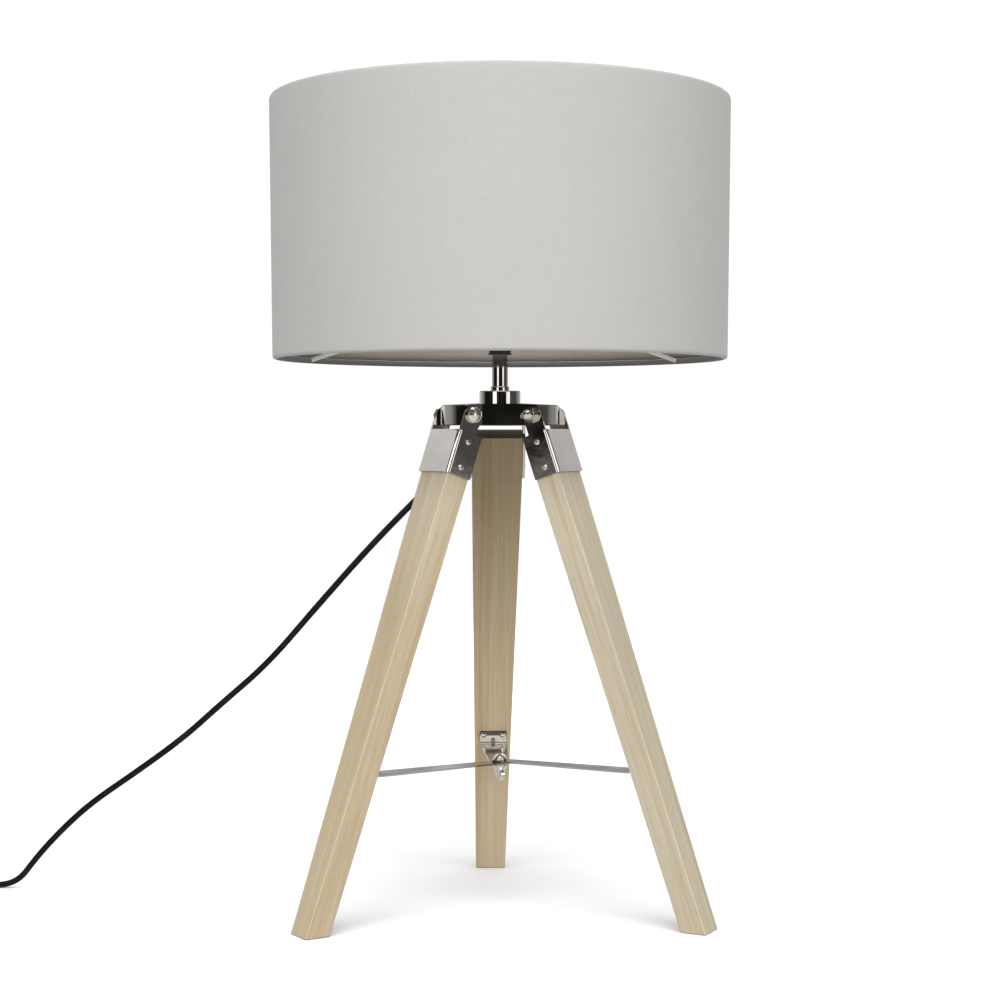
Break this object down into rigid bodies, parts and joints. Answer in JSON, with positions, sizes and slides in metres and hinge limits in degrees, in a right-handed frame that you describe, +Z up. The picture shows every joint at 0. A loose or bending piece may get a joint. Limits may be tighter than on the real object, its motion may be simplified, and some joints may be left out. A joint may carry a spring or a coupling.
{
  "type": "table lamp",
  "caption": "Tripod table lamp with a drum shade on a short chrome stem, pale wooden legs hinged on a chrome hub and a spreader brace with a wing nut.",
  "frame": {"origin": "on the floor, straight below the stem's axis", "axes": "+Z up along the stem; +Y towards the rear leg; the lamp's front is towards -Y"},
  "size_m": [0.7164, 0.354, 0.626],
  "materials": {
    "shade_fabric": "grey woven cotton",
    "shade_lining": "satin lining film",
    "white_wire": "white coated wire",
    "chrome": "polished chrome",
    "satin_steel": "satin steel",
    "zinc": "zinc plated",
    "pale_wood": "limed pale wood",
    "black_plastic": "black moulded",
    "brass": "plain",
    "ceramic": "white",
    "opal_glass": "opal",
    "black_cord": "satin black sheath"
  },
  "bodies": {
    "lamp": {"hub": "chrome", "hub_nut": "zinc", "threaded_tube": "zinc", "stem_cup": "chrome", "stem_collar": "chrome", "stem_tube": "chrome", "lampholder_base": "black_plastic", "lampholder_skirt": "black_plastic", "lampholder_insert": "ceramic", "lampholder_shell": "brass", "cord_gland": "black_plastic", "cord": "black_cord", "cord_coil": "black_cord", "plug_body": "black_plastic", "plug_pins": "brass", "pivot_bolt_rear": "chrome", "pivot_nut_rear": "chrome", "pivot_washers_rear": "chrome", "pivot_bolt_left": "chrome", "pivot_nut_left": "chrome", "pivot_washers_left": "chrome", "pivot_bolt_right": "chrome", "pivot_nut_right": "chrome", "pivot_washers_right": "chrome"},
    "leg_rear": {"leg_rear": "pale_wood", "leg_bracket_rear": "chrome", "bracket_screws_rear": "zinc", "brace_arm_rear": "satin_steel", "brace_screws_rear": "zinc", "brace_bolt": "chrome", "brace_top_washer": "satin_steel", "brace_bottom_washer": "satin_steel"},
    "leg_left": {"leg_left": "pale_wood", "leg_bracket_left": "chrome", "bracket_screws_left": "zinc", "brace_arm_left": "satin_steel", "brace_screws_left": "zinc"},
    "leg_right": {"leg_right": "pale_wood", "leg_bracket_right": "chrome", "bracket_screws_right": "zinc", "brace_arm_right": "satin_steel", "brace_screws_right": "zinc"},
    "wing_nut": {"wing_nut": "chrome"},
    "shade": {"shade_fabric": "shade_fabric", "shade_liner": "shade_lining", "shade_top_ring": "white_wire", "shade_bottom_ring": "white_wire", "shade_fitter_ring": "white_wire", "shade_arm_1": "white_wire", "shade_arm_2": "white_wire", "shade_arm_3": "white_wire"},
    "retaining_ring": {"shade_retaining_ring": "black_plastic"},
    "bulb": {"bulb_cap": "zinc", "bulb_glass": "opal_glass"},
    "switch_bar": {"switch_bar": "black_plastic"}
  },
  "joints": [
    {"name": "leg_rear_spread", "type": "hinge", "parent": "lamp", "child": "leg_rear", "pos_m": [0, 0.038, 0.38385], "axis": [1, 0, 0], "range_deg": [0, 8]},
    {"name": "leg_left_spread", "type": "hinge", "parent": "lamp", "child": "leg_left", "pos_m": [-0.03291, -0.019, 0.38385], "axis": [-0.5, 0.866, 0], "range_deg": [0, 8]},
    {"name": "leg_right_spread", "type": "hinge", "parent": "lamp", "child": "leg_right", "pos_m": [0.03291, -0.019, 0.38385], "axis": [-0.5, -0.866, 0], "range_deg": [0, 8]},
    {"name": "wing_nut_turn", "type": "hinge", "parent": "leg_rear", "child": "wing_nut", "pos_m": [0, 0, 0.11], "axis": [0, 0, 1], "continuous": true},
    {"name": "shade_swivel", "type": "hinge", "parent": "lamp", "child": "shade", "pos_m": [0, 0, 0.4675], "axis": [0, 0, 1], "continuous": true},
    {"name": "retaining_ring_turn", "type": "hinge", "parent": "lamp", "child": "retaining_ring", "pos_m": [0, 0, 0.4714], "axis": [0, 0, 1], "continuous": true},
    {"name": "bulb_lift", "type": "slide", "parent": "lamp", "child": "bulb", "axis": [0, 0, 1], "range_m": [0, 0.05]},
    {"name": "switch_slide", "type": "slide", "parent": "lamp", "child": "switch_bar", "axis": [-1, 0, 0], "range_m": [0, 0.008]}
  ],
  "couplings": [
    {"joint": "leg_left_spread", "follows": "leg_rear_spread", "ratio": 1},
    {"joint": "leg_right_spread", "follows": "leg_rear_spread", "ratio": 1}
  ]
}
